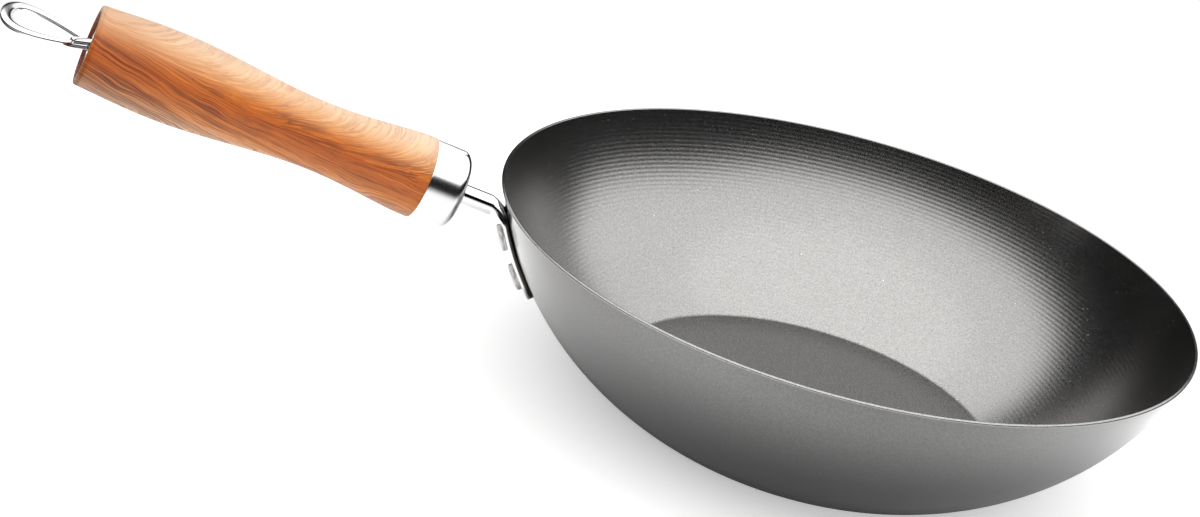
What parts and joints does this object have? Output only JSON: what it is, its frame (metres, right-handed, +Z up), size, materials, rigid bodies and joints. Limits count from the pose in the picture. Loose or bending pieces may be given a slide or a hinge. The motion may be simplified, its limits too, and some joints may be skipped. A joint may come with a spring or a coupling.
{
  "type": "carbon steel wok",
  "caption": "Flat-bottomed spun steel wok with a riveted bracket, a ferruled wooden grip and a wire hanging loop that swivels in the end cap.",
  "frame": {"origin": "on the bowl's axis at the underside of its flat base", "axes": "+Z up along the bowl's axis, the handle towards -X, rising away from the bowl"},
  "size_m": [0.505, 0.2998, 0.1305],
  "materials": {
    "dark_steel": "satin dark grey, finely grooved by spinning",
    "plated_steel": "bright chrome plate",
    "rivet_steel": "satin set rivets",
    "brushed_ferrule": "brushed round the ferrule",
    "plain_steel": "plain drawn steel",
    "handle_wood": "lacquered reddish wood with dark streaks",
    "plated_wire": "bright chrome plated wire"
  },
  "bodies": {
    "wok": {"bowl": "dark_steel", "handle_bracket": "plated_steel", "bracket_rivets": "rivet_steel", "ferrule": "brushed_ferrule", "stem_washer": "plain_steel", "grip": "handle_wood", "tie_rod": "plain_steel", "rod_bush": "plain_steel", "end_cap": "plated_steel"},
    "loop": {"swivel_collar": "plain_steel", "hanging_loop": "plated_wire"}
  },
  "joints": [
    {"name": "loop_swivel", "type": "hinge", "parent": "wok", "child": "loop", "pos_m": [-0.32059, 0, 0.11456], "axis": [-0.9709, 0, 0.2394], "continuous": true}
  ]
}
